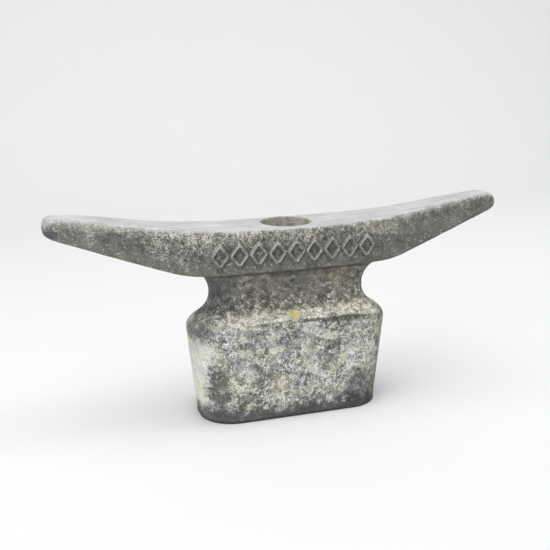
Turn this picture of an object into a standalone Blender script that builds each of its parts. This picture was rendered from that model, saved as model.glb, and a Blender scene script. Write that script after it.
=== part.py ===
"""Dock cleat: a one-piece aluminium horn casting held down by one bolt through its middle.

The frame is +Z up, +X along the horns, with the origin at the middle of the base's underside.
Every length is in metres. The casting stands on its base; its bolt head sits in a recess in the
saddle, and a long coupling nut on the bolt's lower end takes a stud that stands out of the dock.
"""

from math import atan, cos, pi, radians, sin, sqrt, tan

import bmesh
import bpy
from mathutils import Matrix, Vector

MM = 0.001
GAP = 0.3 * MM  # clearance that loose pieces keep from each other

# The horn bar, measured along X from its middle
HALF_LENGTH = 200 * MM
SADDLE_Z = 164 * MM  # top of the bar at the middle
TIP_RISE = 17 * MM  # how much higher the top is at the horn tips
TOP_EASE = 1.6  # above 1, the saddle is flatter than the horns
UNDERSIDE_Z = 128 * MM  # underside of the bar over the neck
TIP_UNDERSIDE_Z = 167 * MM
UNDERSIDE_FLAT = 72 * MM  # half length of the flat stretch of the underside
UNDERSIDE_BEND = 32 * MM  # length over which the underside bends up into the horn
BAR_HALF_DEPTH = 28 * MM
TIP_HALF_DEPTH = 11.5 * MM
DEPTH_TAPER = 1.6
BAR_EDGE_RADIUS = 4 * MM
NOSE_LENGTH = 9 * MM  # rounding of each horn's end
NOSE_HEIGHT_SHARE = 0.62  # height in the section of the nose's foremost point
NOSE_END_SCALE = 0.3

# The tapered base block and its sloping shoulder
BASE_TOP = (87.2 * MM, 35 * MM, 31 * MM)  # half length, half depth and corner radius in plan
BASE_TAPER = 8 * MM  # how much smaller each half length is at the foot
BASE_DEPTH_TAPER = 3.8 * MM
BASE_FOOT_EDGE = 1.5 * MM
SHOULDER_Z = 84 * MM  # where the side's line meets the slope's line
SHOULDER_SLOPE = 0.5
SHOULDER_RADIUS = 9 * MM
SHOULDER_INSET = 20 * MM  # the slope stops this far in, inside the neck

# The neck between base and bar, hollowed by one arc from the shoulder to the bar
NECK = (67.7 * MM, 21.5 * MM, 17 * MM)
NECK_WAIST_Z = 107 * MM
NECK_ARC_RADIUS = 22 * MM
NECK_FOOT_Z = 88 * MM
NECK_HEAD_Z = 126.5 * MM  # where the arc gives way to the bar
NECK_TOP_Z = 134 * MM
NECK_DEPTH_SHARE = 0.2  # how much of the arc's spread along X it has along Y

# The recess, bore and nut pocket on the bolt's axis
RECESS_RADIUS = 21.4 * MM
RECESS_FLOOR_Z = 129 * MM
BORE_RADIUS = 13 * MM
NUT_POCKET_RADIUS = 20.3 * MM
NUT_POCKET_ROOF_Z = 70 * MM

# The two lightening cores that open in the base's underside
CORE_MIDDLE_X = 49.5 * MM
CORE_FOOT = (19.5 * MM, 21.5 * MM, 10 * MM)
CORE_ROOF_Z = 74 * MM
CORE_DRAFT = 2 * MM

# M20 fixings
THREAD_RADIUS = 10 * MM
ACROSS_FLATS = 30 * MM
HEAD_HEIGHT = 12.5 * MM
BOLT_LENGTH = 110 * MM
COUPLING_LENGTH = 60 * MM
COUPLING_FOOT_Z = 2 * MM
PLATE_WASHER = (10.7 * MM, 18.5 * MM, 3 * MM)  # inner radius, outer radius, thickness
SPRING_WASHER = (10.6 * MM, 16.8 * MM, 4 * MM)
SPRING_WASHER_SPLIT = 14  # degrees left open
BUSH_FLANGE = (10.5 * MM, 19.5 * MM, 3 * MM)
NUT_WASHER = (10.7 * MM, 18.8 * MM, 3 * MM)
BUSH_END_Z = NUT_POCKET_ROOF_Z + 1 * MM

SIDES = 32  # facets round a turned piece
CORNER_STEPS = 6  # facets round a corner in plan
SECTION_STEPS = 4  # facets round an edge of the bar
BAR_STATIONS = 28


def clear_scene():
    for old in list(bpy.data.objects):
        bpy.data.objects.remove(old)


def material(name, colour, roughness, metallic):
    made = bpy.data.materials.new(name)
    made.use_nodes = True
    shader = made.node_tree.nodes["Principled BSDF"]
    shader.inputs["Base Color"].default_value = (*colour, 1)
    shader.inputs["Roughness"].default_value = roughness
    shader.inputs["Metallic"].default_value = metallic
    return made


def object_from(bm, name, finish=None):
    """A linked object that holds bm's mesh, smooth except at real edges. With no finish it is a guide."""
    bmesh.ops.recalc_face_normals(bm, faces=bm.faces)
    mesh = bpy.data.meshes.new(name)
    bm.to_mesh(mesh)
    bm.free()
    made = bpy.data.objects.new(name, mesh)
    bpy.context.scene.collection.objects.link(made)
    if finish:
        mesh.materials.append(finish)
        mesh.shade_smooth()
        mesh.set_sharp_from_angle(angle=radians(35))
    else:
        made.hide_render = True
        made.display_type = "WIRE"
    return made


def loft(rings, name, finish=None):
    """A closed body through rings of the same number of points, capped at both ends."""
    bm = bmesh.new()
    loops = [[bm.verts.new(point) for point in ring] for ring in rings]
    count = len(rings[0])
    for lower, upper in zip(loops, loops[1:]):
        for i in range(count):
            j = (i + 1) % count
            bm.faces.new((lower[i], lower[j], upper[j], upper[i]))
    bm.faces.new(loops[0])
    bm.faces.new(loops[-1])
    return object_from(bm, name, finish)


def turned(profile, name, finish=None, middle=(0, 0), closed=False):
    """A body turned about a vertical axis from (radius, z) points. A closed profile makes a ring."""
    bm = bmesh.new()
    loops = []
    for radius, z in profile:
        turn = [2 * pi * i / SIDES for i in range(SIDES)]
        spot = [(middle[0] + radius * cos(a), middle[1] + radius * sin(a), z) for a in turn]
        loops.append([bm.verts.new(point) for point in spot])
    pairs = list(zip(loops, loops[1:]))
    if closed:
        pairs.append((loops[-1], loops[0]))
    for lower, upper in pairs:
        for i in range(SIDES):
            j = (i + 1) % SIDES
            bm.faces.new((lower[i], lower[j], upper[j], upper[i]))
    if not closed:
        bm.faces.new(loops[0])
        bm.faces.new(loops[-1])
    return object_from(bm, name, finish)


def ring_washer(size, foot_z, name, finish):
    inner, outer, thickness = size
    profile = [(inner, foot_z), (outer, foot_z), (outer, foot_z + thickness), (inner, foot_z + thickness)]
    return turned(profile, name, finish, closed=True)


def combine(body, tool, operation):
    """Adds or cuts tool, which stays in the file as a guide."""
    change = body.modifiers.new(operation.lower() + "_" + tool.name, "BOOLEAN")
    change.operation = operation
    change.object = tool


def plan_ring(half_x, half_y, radius, z, steps=CORNER_STEPS):
    """A rounded rectangle in plan, counter-clockwise from the middle of its +X side's end."""
    points = []
    for quarter in range(4):
        side_x = 1 if quarter in (0, 3) else -1
        side_y = 1 if quarter in (0, 1) else -1
        for step in range(steps + 1):
            a = (quarter + step / steps) * pi / 2
            x = side_x * (half_x - radius) + radius * cos(a)
            y = side_y * (half_y - radius) + radius * sin(a)
            points.append((x, y, z))
    return points


# ---------------------------------------------------------------- the horn bar


def top_z(x):
    """Height of the bar's top: flat at the saddle, easing up to the horn tips."""
    share = abs(x) / HALF_LENGTH
    return SADDLE_Z + TIP_RISE * (1 - cos(pi * share**TOP_EASE)) / 2


def underside_z(x):
    """Height of the bar's underside: flat over the neck, then a parabola into a straight slope."""
    beyond = abs(x) - UNDERSIDE_FLAT
    if beyond <= 0:
        return UNDERSIDE_Z
    run = HALF_LENGTH - UNDERSIDE_FLAT
    slope = (TIP_UNDERSIDE_Z - UNDERSIDE_Z) / (run - UNDERSIDE_BEND / 2)
    if beyond < UNDERSIDE_BEND:
        return UNDERSIDE_Z + slope * beyond**2 / (2 * UNDERSIDE_BEND)
    return UNDERSIDE_Z + slope * (beyond - UNDERSIDE_BEND / 2)


def half_depth(x):
    share = abs(x) / HALF_LENGTH
    return BAR_HALF_DEPTH - (BAR_HALF_DEPTH - TIP_HALF_DEPTH) * share**DEPTH_TAPER


def nose_scale(x):
    """Size of a section near a horn's end, as a share of the full one."""
    into_nose = abs(x) - (HALF_LENGTH - NOSE_LENGTH)
    if into_nose <= 0:
        return 1.0
    return max(NOSE_END_SCALE, sqrt(max(0.0, 1 - (into_nose / NOSE_LENGTH) ** 2)))


def bar_section(x):
    """The bar's rounded rectangular section in the plane at x."""
    low, high = underside_z(x), top_z(x)
    nose_z = low + (high - low) * NOSE_HEIGHT_SHARE
    half_y, half_z = half_depth(x), (high - low) / 2
    radius = min(BAR_EDGE_RADIUS, 0.8 * half_z)
    flat = plan_ring(half_y, half_z, radius, 0, SECTION_STEPS)
    scale = nose_scale(x)
    middle_z = (low + high) / 2
    return [(x, y * scale, nose_z + (middle_z + z - nose_z) * scale) for y, z, _ in flat]


def bar_stations():
    """X places of the bar's sections: even along the horns, closer in the noses."""
    shank = HALF_LENGTH - NOSE_LENGTH
    nose = [shank + NOSE_LENGTH * sin(radians(a)) for a in (30, 55, 75, 90)]
    even = [-shank + 2 * shank * i / BAR_STATIONS for i in range(BAR_STATIONS + 1)]
    return [-x for x in reversed(nose)] + even + nose


# ---------------------------------------------------------------- base and neck


def base_size(z):
    """Half length, half depth and corner radius of the tapered block at height z."""
    share = 1 - z / SHOULDER_Z
    return (
        BASE_TOP[0] - BASE_TAPER * share,
        BASE_TOP[1] - BASE_DEPTH_TAPER * share,
        BASE_TOP[2] - BASE_DEPTH_TAPER * share,
    )


def base_ring(z, inset=0.0):
    half_x, half_y, radius = base_size(min(z, SHOULDER_Z))
    return plan_ring(half_x - inset, half_y - inset, max(radius - inset, 6 * MM), z)


def base_block():
    """The block: a small edge at the foot, straight drafted sides, a rounded and sloping shoulder."""
    rings = [base_ring(0, BASE_FOOT_EDGE), base_ring(BASE_FOOT_EDGE)]
    fall = pi / 2 - atan(SHOULDER_SLOPE)  # turn from the upright side to the slope
    reach = SHOULDER_RADIUS * tan(fall / 2)
    turn_z = SHOULDER_Z - reach
    steps = 5
    for step in range(steps + 1):
        a = fall * step / steps
        inset = SHOULDER_RADIUS * (1 - cos(a))
        rings.append(base_ring(turn_z + SHOULDER_RADIUS * sin(a), inset))
    rings.append(base_ring(SHOULDER_Z + SHOULDER_SLOPE * SHOULDER_INSET, SHOULDER_INSET))
    return loft(rings, "base_block")


def neck_ring(z, arc_z):
    """The neck's plan at height z, as wide as its arc is at arc_z."""
    half_x, half_y, radius = NECK
    spread = NECK_ARC_RADIUS - sqrt(NECK_ARC_RADIUS**2 - (arc_z - NECK_WAIST_Z) ** 2)
    return plan_ring(half_x + spread, half_y + NECK_DEPTH_SHARE * spread, radius, z)


def neck_post():
    """The neck, narrowest at its waist, running up into the bar."""
    steps = 12
    heights = [NECK_FOOT_Z + (NECK_HEAD_Z - NECK_FOOT_Z) * step / steps for step in range(steps + 1)]
    rings = [neck_ring(z, z) for z in heights]
    rings.append(neck_ring(NECK_TOP_Z, NECK_HEAD_Z))
    return loft(rings, "neck_post")


def core_cutter(side):
    half_x, half_y, radius = CORE_FOOT
    foot = plan_ring(half_x, half_y, radius, -5 * MM)
    roof = plan_ring(half_x - CORE_DRAFT, half_y - CORE_DRAFT, radius, CORE_ROOF_Z)
    rings = [[(x + side * CORE_MIDDLE_X, y, z) for x, y, z in ring] for ring in (foot, roof)]
    return loft(rings, "core_left" if side < 0 else "core_right")


def bolt_way_cutter():
    """Recess, bore and nut pocket as one turned cutter on the bolt's axis."""
    above, below = top_z(HALF_LENGTH) + 10 * MM, -5 * MM
    profile = [
        (NUT_POCKET_RADIUS, below),
        (NUT_POCKET_RADIUS, NUT_POCKET_ROOF_Z),
        (BORE_RADIUS, NUT_POCKET_ROOF_Z),
        (BORE_RADIUS, RECESS_FLOOR_Z),
        (RECESS_RADIUS, RECESS_FLOOR_Z),
        (RECESS_RADIUS, above),
    ]
    return turned(profile, "bolt_way")


def horn_casting(finish):
    """The whole casting: bar, neck and base in one solid, with its bolt way and cores cut out."""
    body = loft([bar_section(x) for x in bar_stations()], "horn_casting", finish)
    for piece in (neck_post(), base_block()):
        combine(body, piece, "UNION")
    for cutter in (bolt_way_cutter(), core_cutter(-1), core_cutter(1)):
        combine(body, cutter, "DIFFERENCE")
    return body


# ---------------------------------------------------------------- fixings


def hexagon(across_flats, foot_z, height, name, finish):
    radius = across_flats / 2 / cos(pi / 6)
    ring = [(radius * cos(pi / 3 * i), radius * sin(pi / 3 * i)) for i in range(6)]
    return loft([[(x, y, z) for x, y in ring] for z in (foot_z, foot_z + height)], name, finish)


def chamfer_barrel(foot_z, height, both_ends, name):
    """A turned guide whose coned ends take the corners off a hexagon."""
    corner = ACROSS_FLATS / 2 / cos(pi / 6)
    face = ACROSS_FLATS / 2 * 0.96
    drop = (corner + 1 * MM - face) * tan(radians(30))
    spare = 2 * MM
    low = [(face, foot_z), (corner + 1 * MM, foot_z + drop)]
    if not both_ends:
        low = [(corner + spare, foot_z - spare)]
    high = [(corner + 1 * MM, foot_z + height - drop), (face, foot_z + height)]
    return turned(low + high, name)


def hold_down_bolt(under_head_z, finish):
    """Hexagon head bolt: chamfered head and a plain shank the size of its thread."""
    bolt = hexagon(ACROSS_FLATS, under_head_z, HEAD_HEIGHT, "hold_down_bolt", finish)
    combine(bolt, chamfer_barrel(under_head_z, HEAD_HEIGHT, False, "head_chamfer"), "INTERSECT")
    tip_z = under_head_z - BOLT_LENGTH
    point = 2 * MM
    profile = [
        (THREAD_RADIUS - point, tip_z),
        (THREAD_RADIUS, tip_z + point),
        (THREAD_RADIUS, under_head_z + HEAD_HEIGHT / 2),
    ]
    combine(bolt, turned(profile, "shank"), "UNION")
    return bolt


def coupling_nut(finish):
    """Long hexagon nut: the bolt fills its upper half, and a dock stud screws into the lower half."""
    nut = hexagon(ACROSS_FLATS, COUPLING_FOOT_Z, COUPLING_LENGTH, "coupling_nut", finish)
    combine(nut, chamfer_barrel(COUPLING_FOOT_Z, COUPLING_LENGTH, True, "nut_chamfer"), "INTERSECT")
    hole = THREAD_RADIUS + GAP
    mouth = 1.2 * MM
    low, high = COUPLING_FOOT_Z, COUPLING_FOOT_Z + COUPLING_LENGTH
    profile = [
        (hole + 2 * mouth, low - mouth),
        (hole, low + mouth),
        (hole, high - mouth),
        (hole + 2 * mouth, high + mouth),
    ]
    combine(nut, turned(profile, "nut_hole"), "DIFFERENCE")
    return nut


def isolating_bush(finish):
    """Flanged nylon bush: the flange keeps the washers, and the tube the shank, off the casting."""
    inner, flange_radius, thickness = BUSH_FLANGE
    outer = BORE_RADIUS - GAP
    seat = RECESS_FLOOR_Z + GAP
    profile = [
        (inner, BUSH_END_Z),
        (outer, BUSH_END_Z),
        (outer, seat),
        (flange_radius, seat),
        (flange_radius, seat + thickness),
        (inner, seat + thickness),
    ]
    return turned(profile, "isolating_bush", finish, closed=True)


def spring_washer(foot_z, finish):
    """Split ring of square section, lying flat as when tightened, with its cut ends left open."""
    inner, outer, thickness = SPRING_WASHER
    rings = []
    sweep = radians(360 - SPRING_WASHER_SPLIT)
    for step in range(SIDES + 1):
        a = radians(SPRING_WASHER_SPLIT) / 2 + sweep * step / SIDES
        radial = Vector((cos(a), sin(a), 0))
        low, high = Vector((0, 0, foot_z)), Vector((0, 0, foot_z + thickness))
        rings.append([radial * inner + low, radial * outer + low, radial * outer + high, radial * inner + high])
    return loft(rings, "spring_washer", finish)


def carry(parent, pieces):
    """Hangs pieces on an empty without moving them."""
    bpy.context.view_layer.update()
    for piece in pieces:
        piece.parent = parent
        piece.matrix_parent_inverse = parent.matrix_world.inverted()


def empty_at(name, place):
    made = bpy.data.objects.new(name, None)
    made.matrix_world = Matrix.Translation(place)
    bpy.context.scene.collection.objects.link(made)
    return made


def main():
    clear_scene()
    aluminium = material("weathered cast aluminium", (0.30, 0.30, 0.29), 0.75, 0.35)
    steel = material("stainless steel", (0.52, 0.52, 0.51), 0.4, 1.0)
    nylon = material("nylon", (0.78, 0.76, 0.70), 0.6, 0.0)

    casting = horn_casting(aluminium)
    bush = isolating_bush(nylon)
    plate_z = RECESS_FLOOR_Z + GAP + BUSH_FLANGE[2] + GAP
    plate = ring_washer(PLATE_WASHER, plate_z, "plate_washer", steel)
    spring_z = plate_z + PLATE_WASHER[2] + GAP
    spring = spring_washer(spring_z, steel)
    carry(empty_at("cleat", (0, 0, 0)), (casting, bush, plate, spring))

    under_head_z = spring_z + SPRING_WASHER[2] + GAP
    bolt = hold_down_bolt(under_head_z, steel)
    nut = coupling_nut(steel)
    nut_washer_z = COUPLING_FOOT_Z + COUPLING_LENGTH + GAP
    nut_washer = ring_washer(NUT_WASHER, nut_washer_z, "nut_isolating_washer", nylon)
    carry(empty_at("bolt_axis", (0, 0, under_head_z)), (bolt, nut, nut_washer))


main()
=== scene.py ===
"""Looks of the dock cleat: the weathered sand casting and the stainless and nylon fixings inside it.

The casting is drawn from one distance field, so that its fillets, rims and worn edges are real shape.
Lengths are in metres, except where a name ends in _MM.
"""

from math import atan, cos, hypot, pi, radians, sin, sqrt

import bmesh
import bpy
from mathutils import Matrix, Vector


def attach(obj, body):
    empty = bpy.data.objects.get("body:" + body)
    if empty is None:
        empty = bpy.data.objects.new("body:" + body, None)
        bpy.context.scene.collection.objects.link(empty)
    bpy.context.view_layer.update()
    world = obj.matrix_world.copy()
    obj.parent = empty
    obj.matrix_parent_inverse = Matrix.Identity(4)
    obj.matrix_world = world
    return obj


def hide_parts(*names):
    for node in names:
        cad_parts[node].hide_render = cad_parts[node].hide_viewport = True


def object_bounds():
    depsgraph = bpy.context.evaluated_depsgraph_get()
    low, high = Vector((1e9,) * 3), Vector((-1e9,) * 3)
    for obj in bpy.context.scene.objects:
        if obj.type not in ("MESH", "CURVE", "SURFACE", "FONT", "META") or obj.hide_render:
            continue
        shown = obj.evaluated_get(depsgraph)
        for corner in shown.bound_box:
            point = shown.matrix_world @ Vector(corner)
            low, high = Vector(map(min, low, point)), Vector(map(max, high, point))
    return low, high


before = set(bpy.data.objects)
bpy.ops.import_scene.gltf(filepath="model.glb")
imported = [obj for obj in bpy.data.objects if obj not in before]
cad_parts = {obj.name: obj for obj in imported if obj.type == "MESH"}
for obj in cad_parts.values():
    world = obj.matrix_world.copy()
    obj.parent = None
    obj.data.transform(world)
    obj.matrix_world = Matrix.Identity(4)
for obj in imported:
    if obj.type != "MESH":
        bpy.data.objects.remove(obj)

cad_low, cad_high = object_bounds()

MM = 0.001

# The horn bar
HALF_LENGTH = cad_high.x
SADDLE_Z = 164 * MM
TIP_RISE = cad_high.z - SADDLE_Z
TOP_EASE = 1.6
UNDERSIDE_Z = 126.6 * MM
TIP_UNDERSIDE_Z = 166.2 * MM
UNDERSIDE_FLAT = 72 * MM
UNDERSIDE_BEND = 32 * MM
BAR_HALF_DEPTH = 28 * MM
TIP_HALF_DEPTH = 11.5 * MM
DEPTH_TAPER = 1.6
BAR_TOP_RADIUS = (5 * MM, 9 * MM)  # over the neck, and out on the horns
BAR_LOW_RADIUS = 2.6 * MM
NOSE_RADIUS = 15 * MM  # each horn ends in a blunt ellipsoid this long
NOSE_START = 7 * MM  # the ellipsoid takes over from the section along this much of X
NOSE_ACROSS = 0.85  # its narrowness across
NOSE_UPRIGHT = (1.0, 1.22)  # its narrowness upright, on the left horn and on the right
NOSE_MIDDLE = (0.42, 0.32)  # height in the section of its foremost point
NOSE_ROUNDING = (3.5 * MM, 5 * MM)
NOSE_WEAR = 1.8 * MM  # the right horn's end is worn this much shorter
LEFT_TIP_LIFT = 0.6 * MM  # the left tip's top stands up higher
LEFT_TIP_DEEPER = 0.7 * MM  # and its underside is lower
RIGHT_TIP_DROP = 1.2 * MM  # the right tip's top droops

# Base, shoulder and neck
BASE_TOP = (88.7 * MM, 35 * MM, 31 * MM)  # half length, half depth and corner radius in plan
BASE_TAPER = 9.3 * MM  # how much smaller each half length is at the foot
BASE_DEPTH_TAPER = 2.4 * MM
SHOULDER_Z = 84 * MM
SHOULDER_SLOPE = 0.5
SHOULDER_FRONT_LIFT = 4 * MM  # the ledge's edge is higher and flatter along the middle
SHOULDER_FRONT_FLATTER = 0.25
SHOULDER_END_DROP = 1.6 * MM  # the ledge is lower at its two ends
SHOULDER_ROUNDING = (4 * MM, 10 * MM)  # along the middle, and round the ends
FOOT_ROUNDING = 1.6 * MM
NECK = (67.6 * MM, 21.5 * MM, 17 * MM)  # the same three at its waist
NECK_WAIST_Z = 107 * MM
NECK_HALF_HEIGHT = 26 * MM
NECK_ARC_RADIUS = 22 * MM
NECK_ARC_REACH = 19.5 * MM
NECK_DEPTH_SHARE = 0.2  # how much of the arc's spread along X it has along Y
NECK_TO_BASE_FILLET = 8 * MM
NECK_TO_BAR_FILLET = 1.5 * MM

# The bolt's way through the casting, and the two cores
RECESS_RADIUS = 21.4 * MM
RECESS_FLOOR_Z = 129 * MM
BORE_RADIUS = 13 * MM
NUT_POCKET_RADIUS = 20.3 * MM
NUT_POCKET_ROOF_Z = 70 * MM
CORE_MIDDLE_X = 49.5 * MM
CORE_FOOT = (19.5 * MM, 21.5 * MM, 10 * MM)  # half length, half depth and corner radius
CORE_ROOF_Z = 74 * MM
CORE_ROOF_ROUNDING = 6 * MM
CORE_DRAFT = 2 * MM
MOUTH_ROUNDING = 2.2 * MM  # round the mouths of the recess, the pocket and the cores

# The M20 fixings, stacked down the bolt's axis
THREAD_PITCH = 2.5 * MM
THREAD_CREST = 9.95 * MM
THREAD_DEPTH = 1.25 * MM
THREAD_RUNOUT = 4 * MM
THREAD_ROOT_FLAT = 0.1  # shares of half a pitch
THREAD_FLANK = 0.75
THREAD_FIT = 0.15 * MM  # the nut's thread stands off the bolt's by this much
HEX_FLATS = 30 * MM
HEX_FACE_RADIUS = 14.4 * MM
HEX_CHAMFER = 1.7 * MM  # height over which the corners are chamfered
BOLT_TIP_RADIUS = 8 * MM
BOLT_TIP_Z = 30.2 * MM
BOLT_THREAD_END_Z = 76.2 * MM
HEAD_Z = (140.2 * MM, 152.7 * MM)
NUT_Z = (2 * MM, 62 * MM)
NUT_MOUTH_RADIUS = 11.5 * MM
SPRING_WASHER_R = (10.6 * MM, 16.8 * MM)
SPRING_WASHER_Z = (135.95 * MM, 139.8 * MM)
SPRING_WASHER_RISE = 0.08 * MM
SPLIT_DEGREES = 14
SPLIT_MIDDLE_Z = 137.9 * MM
SPLIT_LEAN = 12  # radians for each metre of height
SPLIT_REACH = 0.06  # the lean dies out this far round, as a share of half the ring
STEPS_ROUND = 96

# The raised motif along the bar's front face
MOTIF = {
    "count": 9,
    "pitch": 16 * MM,
    "half_width": 6.6 * MM,
    "half_height": 9 * MM,
    "stroke": 1.9 * MM,
    "middle_z": 143 * MM,
}

# Cream blotches on the base's front: middle (x, z) and half size, in millimetres
CREAM_BLOTCHES = (
    ((-49, 74), (7, 5)),
    ((-17, 63), (7, 5)),
    ((8, 48), (8, 5)),
    ((28, 70), (14, 6)),
    ((68, 55), (7, 9)),
    ((-6, 36), (9, 5)),
)

# The field's grid
CELL = 1.6 * MM
MARGIN = 5 * MM

# The cast skin's relief. It is drawn in, so that it stays inside the part's outside size
SKIN_INSET = 0.5 * MM
SKIN_WAVINESS = 0.35 * MM
SKIN_CRUST = 0.3 * MM
EDGE_PROBE = 4 * MM  # how far under the skin the edge note looks for thin metal
HOLLOW_PROBE = 7 * MM  # how far above it the hollow note looks for more metal

# Where the camera stands: it looks at the neck's top from a little left of the front
CAMERA_AZIMUTH = -18.05
CAMERA_ELEVATION = 14.82
CAMERA_ROLL = -0.48
CAMERA_DISTANCE = 742.75 * MM
CAMERA_TARGET = Vector((-9.72, 0, 117.4)) * MM
CAMERA_LENS_MM = 56.94


# ---------------------------------------------------------------- arithmetic in node trees


def feed(socket, value):
    """Links a term to an input, or sets the input to a plain number or vector."""
    if isinstance(value, Term):
        value.tree.links.new(value.socket, socket)
    elif value is not None:
        socket.default_value = value


def calc(operation, *values):
    """One Math node. At least one of the values is a term."""
    tree = next(value.tree for value in values if isinstance(value, Term))
    node = tree.nodes.new("ShaderNodeMath")
    node.operation = operation
    for socket, value in zip(node.inputs, values):
        feed(socket, value)
    return Term(tree, node.outputs[0])


class Term:
    """A value worked out inside a node tree. Ordinary arithmetic on terms adds Math nodes."""

    def __init__(self, tree, socket):
        self.tree = tree
        self.socket = socket

    def __add__(self, other):
        return calc("ADD", self, other)

    def __radd__(self, other):
        return calc("ADD", other, self)

    def __sub__(self, other):
        return calc("SUBTRACT", self, other)

    def __rsub__(self, other):
        return calc("SUBTRACT", other, self)

    def __mul__(self, other):
        return calc("MULTIPLY", self, other)

    def __rmul__(self, other):
        return calc("MULTIPLY", other, self)

    def __truediv__(self, other):
        return calc("DIVIDE", self, other)

    def __rtruediv__(self, other):
        return calc("DIVIDE", other, self)

    def __pow__(self, other):
        return calc("POWER", self, other)

    def __neg__(self):
        return calc("MULTIPLY", self, -1.0)

    def __abs__(self):
        return calc("ABSOLUTE", self)


def larger(a, b):
    return calc("MAXIMUM", a, b)


def smaller(a, b):
    return calc("MINIMUM", a, b)


def smooth_larger(a, b, width):
    return calc("SMOOTH_MAX", a, b, width)


def smooth_smaller(a, b, width):
    return calc("SMOOTH_MIN", a, b, width)


def hypotenuse(a, b):
    return calc("SQRT", a * a + b * b)


def ramp(value, start, end, low=0.0, high=1.0):
    """Eases from low to high as value goes from start to end, and holds outside that."""
    node = value.tree.nodes.new("ShaderNodeMapRange")
    node.interpolation_type = "SMOOTHSTEP"
    names = ("Value", "From Min", "From Max", "To Min", "To Max")
    for name, given in zip(names, (value, start, end, low, high)):
        feed(node.inputs[name], given)
    return Term(value.tree, node.outputs["Result"])


def place(tree, kind, output=0, settings=None, **inputs):
    """A node with its settings and its inputs, by the inputs' names with _ for a space."""
    node = tree.nodes.new(kind)
    for name, value in (settings or {}).items():
        setattr(node, name, value)
    for name, value in inputs.items():
        feed(node.inputs[name.replace("_", " ")], value)
    return Term(tree, node.outputs[output])


def parts_of(vector):
    """The X, Y and Z of a vector term."""
    node = vector.tree.nodes.new("ShaderNodeSeparateXYZ")
    feed(node.inputs[0], vector)
    return [Term(vector.tree, output) for output in node.outputs]


def vector_of(tree, x, y, z):
    node = tree.nodes.new("ShaderNodeCombineXYZ")
    for socket, value in zip(node.inputs, (x, y, z)):
        feed(socket, value)
    return Term(tree, node.outputs[0])


def along(vector, amount):
    """A vector term times a number or term."""
    settings = {"operation": "SCALE"}
    return place(vector.tree, "ShaderNodeVectorMath", settings=settings, Vector=vector, Scale=amount)


def moved(vector, step):
    """A vector term plus a step. A step in metres also gives another stretch of the same noise."""
    node = vector.tree.nodes.new("ShaderNodeVectorMath")
    node.operation = "ADD"
    feed(node.inputs[0], vector)
    feed(node.inputs[1], step)
    return Term(vector.tree, node.outputs[0])


def stretched(vector, scale):
    node = vector.tree.nodes.new("ShaderNodeVectorMath")
    node.operation = "MULTIPLY"
    feed(node.inputs[0], vector)
    feed(node.inputs[1], scale)
    return Term(vector.tree, node.outputs[0])


def noise(vector, grain_mm, detail=2.0, roughness=0.5):
    """Noise whose lumps are about grain_mm across, for a vector in metres."""
    return place(vector.tree, "ShaderNodeTexNoise", Vector=vector, Scale=1000.0 / grain_mm, Detail=detail,
                 Roughness=roughness)


def new_tree(name, kind, inputs, outputs):
    """An empty node tree with its sockets, and its input node's terms by name."""
    tree = bpy.data.node_groups.new(name, kind)
    for socket_name, socket_kind, value in inputs:
        socket = tree.interface.new_socket(name=socket_name, in_out="INPUT", socket_type=socket_kind)
        if value is not None:
            socket.default_value = value
    for socket_name, socket_kind in outputs:
        tree.interface.new_socket(name=socket_name, in_out="OUTPUT", socket_type=socket_kind)
    entry = tree.nodes.new("NodeGroupInput")
    terms = {socket.name: Term(tree, socket) for socket in entry.outputs if socket.name}
    return tree, terms


def give(tree, **results):
    """Links a tree's results to its output sockets."""
    node = tree.nodes.new("NodeGroupOutput")
    for name, value in results.items():
        feed(node.inputs[name.replace("_", " ")], value)


# ---------------------------------------------------------------- the casting's distance field


def round_plan(x, y, half_x, half_y, radius):
    """Distance from a rounded rectangle's outline, negative inside it."""
    over_x = abs(x) - half_x + radius
    over_y = abs(y) - half_y + radius
    outside = hypotenuse(larger(over_x, 0.0), larger(over_y, 0.0))
    return outside + smaller(larger(over_x, over_y), 0.0) - radius


def left_to_right(x, pair):
    """The first of a pair on the left horn and the second on the right, eased over the saddle."""
    return ramp(x, -10 * MM, 10 * MM, *pair)


def bar_half_depth(x):
    return BAR_HALF_DEPTH - (abs(x) / HALF_LENGTH) ** DEPTH_TAPER * (BAR_HALF_DEPTH - TIP_HALF_DEPTH)


def bar_outline(x):
    """Height of the bar's underside and of its top at x."""
    reach = abs(x)
    turn = calc("COSINE", smaller(reach / HALF_LENGTH, 1.0) ** TOP_EASE * pi)
    top = SADDLE_Z + (1.0 - turn) * (TIP_RISE / 2)
    slope = (TIP_UNDERSIDE_Z - UNDERSIDE_Z) / (HALF_LENGTH - UNDERSIDE_FLAT - UNDERSIDE_BEND / 2)
    beyond = larger(reach - UNDERSIDE_FLAT, 0.0)
    bend = smaller(beyond, UNDERSIDE_BEND)
    under = UNDERSIDE_Z + (bend * bend / (2 * UNDERSIDE_BEND) + larger(beyond - UNDERSIDE_BEND, 0.0)) * slope
    under = under - ramp(x, -70 * MM, -120 * MM) * LEFT_TIP_DEEPER
    top = top + ramp(x, -70 * MM, -180 * MM) * LEFT_TIP_LIFT - ramp(x, 100 * MM, 190 * MM) * RIGHT_TIP_DROP
    return under, top


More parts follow.
